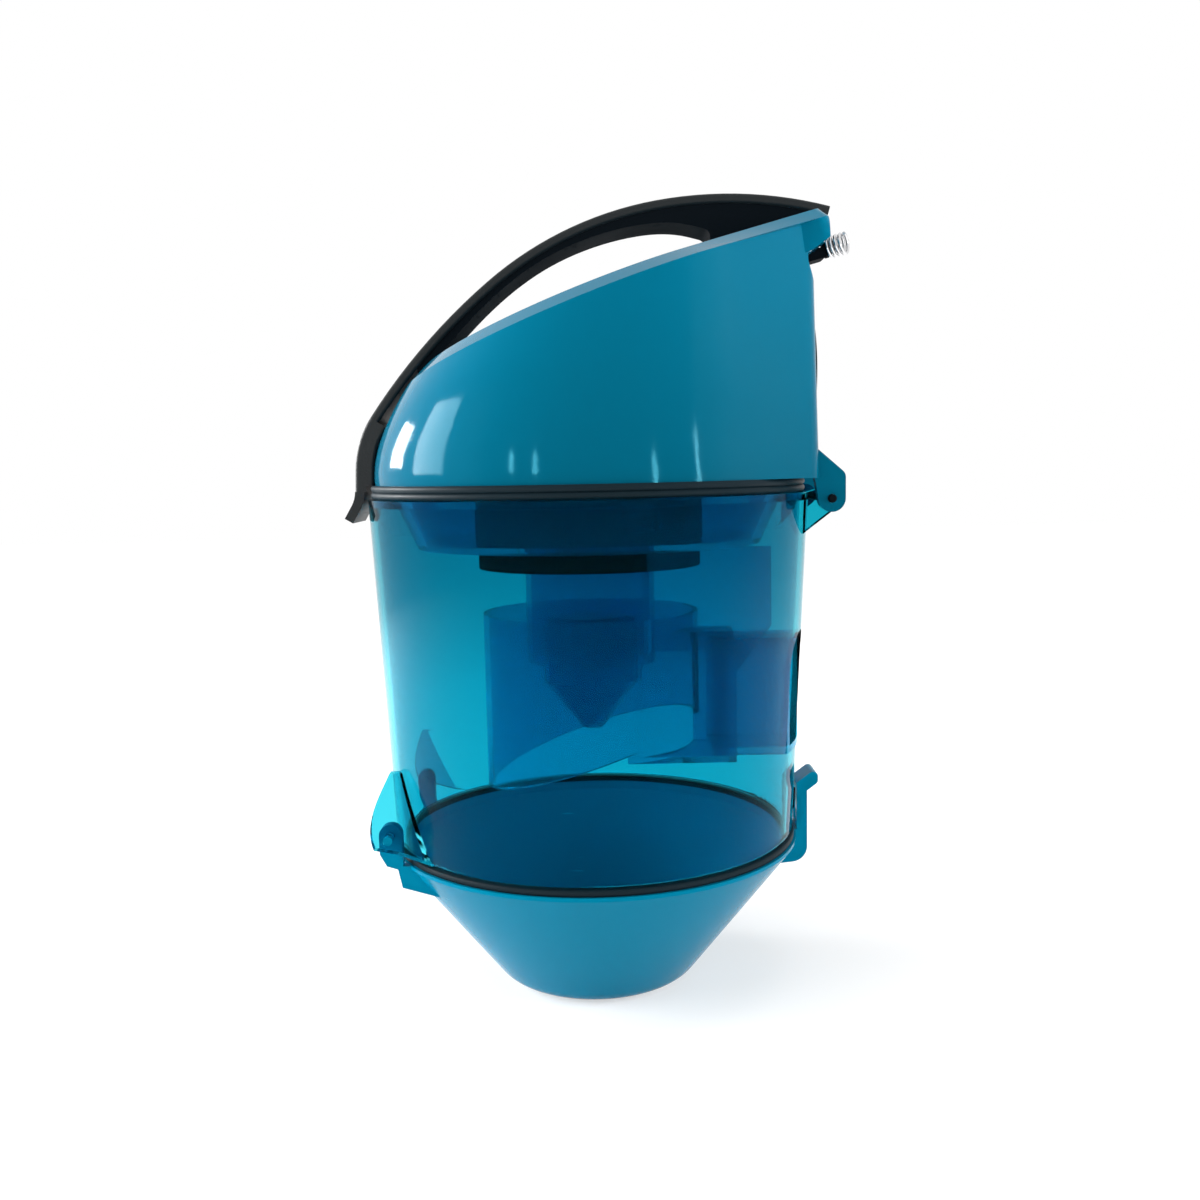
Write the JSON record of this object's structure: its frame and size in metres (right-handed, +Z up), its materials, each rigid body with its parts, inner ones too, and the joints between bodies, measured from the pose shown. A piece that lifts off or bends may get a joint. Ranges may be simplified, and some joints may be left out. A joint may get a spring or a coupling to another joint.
{
  "type": "cyclone dust bin",
  "caption": "Vacuum cleaner cyclone dust bin: clear tapered cup, hinged conical bottom lid with snap clip, hinged hood with arched carry handle and sprung catch.",
  "frame": {"origin": "centre of the lid's round foot, on the cup's axis, at the floor", "axes": "+Z up along the cup's axis, +X to the rear, where the bin meets the machine, -X to the handle's thumb lip"},
  "size_m": [0.1838, 0.1604, 0.2859],
  "materials": {
    "cup": "clear deep blue",
    "inner": "clear blue",
    "shell": "deep teal, slightly clear",
    "lid": "deep teal, slightly clear",
    "charcoal": "satin charcoal",
    "black": "satin black",
    "seal": "black",
    "foam": "dark open foam",
    "steel": "bright",
    "spring": "bright"
  },
  "bodies": {
    "bin": {"dust_cup": "cup", "cyclone_chamber": "inner", "inlet_boot": "inner", "filter_tray": "inner", "vortex_tube": "inner", "vortex_bell": "inner", "filter_collar": "black", "filter_drum": "black", "foam_filter": "foam", "hood_hinge_pin": "black", "lid_hinge_pins": "lid"},
    "hood": {"hood_shell": "shell", "hood_seal": "seal", "outlet_gasket": "seal", "outlet_grille": "black", "handle_grip": "charcoal", "handle_frame": "black", "handle_screws": "steel", "catch_pin": "steel"},
    "catch": {"release_catch": "black", "catch_spring": "spring"},
    "lid": {"cone_lid": "lid", "lid_gasket": "seal"}
  },
  "joints": [
    {"name": "hood_hinge", "type": "hinge", "parent": "bin", "child": "hood", "pos_m": [0.0842, 0, 0.1788], "axis": [0, 1, 0], "range_deg": [0, 95]},
    {"name": "lid_hinge", "type": "hinge", "parent": "bin", "child": "lid", "pos_m": [-0.071, 0, 0.0648], "axis": [0, 1, 0], "range_deg": [0, 80]},
    {"name": "catch_hinge", "type": "hinge", "parent": "hood", "child": "catch", "pos_m": [0.0734, 0, 0.26427], "axis": [0, 1, 0], "range_deg": [0, 12], "stiffness_Nm_per_rad": 0.05, "springref_deg": -8.59}
  ]
}
